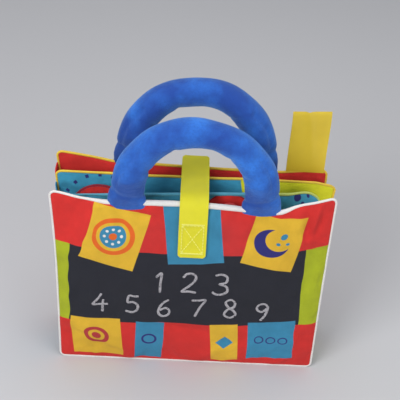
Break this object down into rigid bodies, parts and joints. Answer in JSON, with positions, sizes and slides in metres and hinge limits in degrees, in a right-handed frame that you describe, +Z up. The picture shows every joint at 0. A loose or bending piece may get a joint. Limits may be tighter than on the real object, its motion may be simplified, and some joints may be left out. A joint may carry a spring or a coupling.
{
  "type": "soft activity book",
  "caption": "Padded cloth activity book with hinged leaves, stuffed carry handles, a closing strap and sliding, turning and buckling page activities.",
  "frame": {"origin": "middle of the closed book's footprint, on the surface it stands on", "axes": "+X to the right of the front cover, +Y from the front cover to the back cover, +Z up towards the handles"},
  "size_m": [0.2445, 0.0926, 0.2724],
  "materials": {
    "red_cloth": "printed cotton",
    "teal_cloth": "printed cotton",
    "lime_cloth": "printed cotton",
    "yellow_cloth": "printed cotton",
    "white_piping": "covered piping cord",
    "yellow_piping": "covered piping cord",
    "teal_piping": "covered piping cord",
    "batting": "polyester wadding",
    "blue_plush": "short plush",
    "lime_webbing": "woven webbing",
    "hook_pad": "hook and loop tape",
    "label": "satin label",
    "blue_tape": "woven zip tape",
    "red_felt": "felt",
    "white_cord": "braided cord",
    "blue_plastic": "moulded",
    "red_plastic": "moulded",
    "yellow_plastic": "moulded",
    "green_plastic": "moulded",
    "white_plastic": "moulded"
  },
  "bodies": {
    "leaf_2": {"leaf_2_batting": "batting", "leaf_2_front_skin": "lime_cloth", "leaf_2_back_skin": "lime_cloth", "leaf_2_piping": "yellow_piping", "gusset_2": "teal_cloth", "gusset_3": "red_cloth", "wheel_rivet": "white_plastic", "bead_cord": "white_cord", "cord_tab_left": "teal_cloth", "cord_tab_right": "teal_cloth", "belt_left": "lime_webbing", "buckle_socket": "blue_plastic", "belt_loop_1": "red_cloth", "belt_loop_2": "red_cloth"},
    "leaf_1": {"leaf_1_batting": "batting", "leaf_1_front_skin": "teal_cloth", "leaf_1_back_skin": "teal_cloth", "leaf_1_piping": "teal_piping", "gusset_1": "teal_cloth", "flower_button": "yellow_plastic"},
    "front_cover": {"front_cover_batting": "batting", "front_cover_front_skin": "red_cloth", "front_cover_back_skin": "yellow_cloth", "front_cover_piping": "white_piping", "strap_sewn_end": "lime_webbing"},
    "back_cover": {"back_cover_batting": "batting", "back_cover_front_skin": "red_cloth", "back_cover_back_skin": "red_cloth", "back_cover_piping": "yellow_piping", "back_cover_loop_tab": "hook_pad", "care_label": "label", "zip_tape_lower": "blue_tape", "zip_tape_upper": "blue_tape", "zip_teeth": "white_plastic"},
    "strap": {"strap_free_end": "lime_webbing", "strap_hook_pad": "hook_pad"},
    "front_handle": {"front_handle": "blue_plush"},
    "back_handle": {"back_handle": "blue_plush"},
    "wheel": {"spinning_wheel": "red_cloth"},
    "bead_1": {"bead_1": "red_plastic"},
    "bead_2": {"bead_2": "yellow_plastic"},
    "bead_3": {"bead_3": "green_plastic"},
    "buckle": {"buckle_prong": "blue_plastic", "belt_right": "lime_webbing"},
    "flower": {"felt_flower": "red_felt"},
    "zip_slider": {"zip_slider": "blue_plastic"},
    "zip_pull": {"zip_pull": "blue_plastic"}
  },
  "joints": [
    {"name": "leaf_1_turn", "type": "hinge", "parent": "leaf_2", "child": "leaf_1", "pos_m": [-0.122, 0, 0], "axis": [0, 0, 1], "range_deg": [-170, 0]},
    {"name": "front_cover_turn", "type": "hinge", "parent": "leaf_1", "child": "front_cover", "pos_m": [-0.122, -0.021, 0], "axis": [0, 0, -1], "range_deg": [0, 175]},
    {"name": "back_cover_turn", "type": "hinge", "parent": "leaf_2", "child": "back_cover", "pos_m": [-0.122, 0.021, 0], "axis": [0, 0, 1], "range_deg": [0, 175]},
    {"name": "strap_lift", "type": "hinge", "parent": "front_cover", "child": "strap", "pos_m": [0, -0.0357, 0.1812], "axis": [1, 0, 0], "range_deg": [0, 50]},
    {"name": "front_handle_tilt", "type": "hinge", "parent": "front_cover", "child": "front_handle", "pos_m": [0, -0.0315, 0.188], "axis": [-1, 0, 0], "range_deg": [-90, 10]},
    {"name": "back_handle_tilt", "type": "hinge", "parent": "back_cover", "child": "back_handle", "pos_m": [0, 0.0315, 0.194], "axis": [1, 0, 0], "range_deg": [-90, 10]},
    {"name": "wheel_spin", "type": "hinge", "parent": "leaf_2", "child": "wheel", "pos_m": [-0.085, 0.00145, 0.1505], "axis": [0, 1, 0], "continuous": true},
    {"name": "bead_1_slide", "type": "slide", "parent": "leaf_2", "child": "bead_1", "axis": [1, 0, 0], "range_m": [-0.018, 0.018]},
    {"name": "bead_2_slide", "type": "slide", "parent": "leaf_2", "child": "bead_2", "axis": [1, 0, 0], "range_m": [-0.018, 0.018]},
    {"name": "bead_3_slide", "type": "slide", "parent": "leaf_2", "child": "bead_3", "axis": [1, 0, 0], "range_m": [-0.018, 0.018]},
    {"name": "buckle_slide", "type": "slide", "parent": "leaf_2", "child": "buckle", "axis": [1, 0, 0], "range_m": [0, 0.028]},
    {"name": "flower_spin", "type": "hinge", "parent": "leaf_1", "child": "flower", "pos_m": [0.032, -0.0173, 0.152], "axis": [0, 1, 0], "continuous": true},
    {"name": "zip_slide", "type": "slide", "parent": "back_cover", "child": "zip_slider", "axis": [1, 0, 0], "range_m": [0, 0.14]},
    {"name": "pull_swing", "type": "hinge", "parent": "zip_slider", "child": "zip_pull", "pos_m": [-0.07, 0.0188, 0.05], "axis": [0, 1, 0], "range_deg": [-80, 80]}
  ]
}
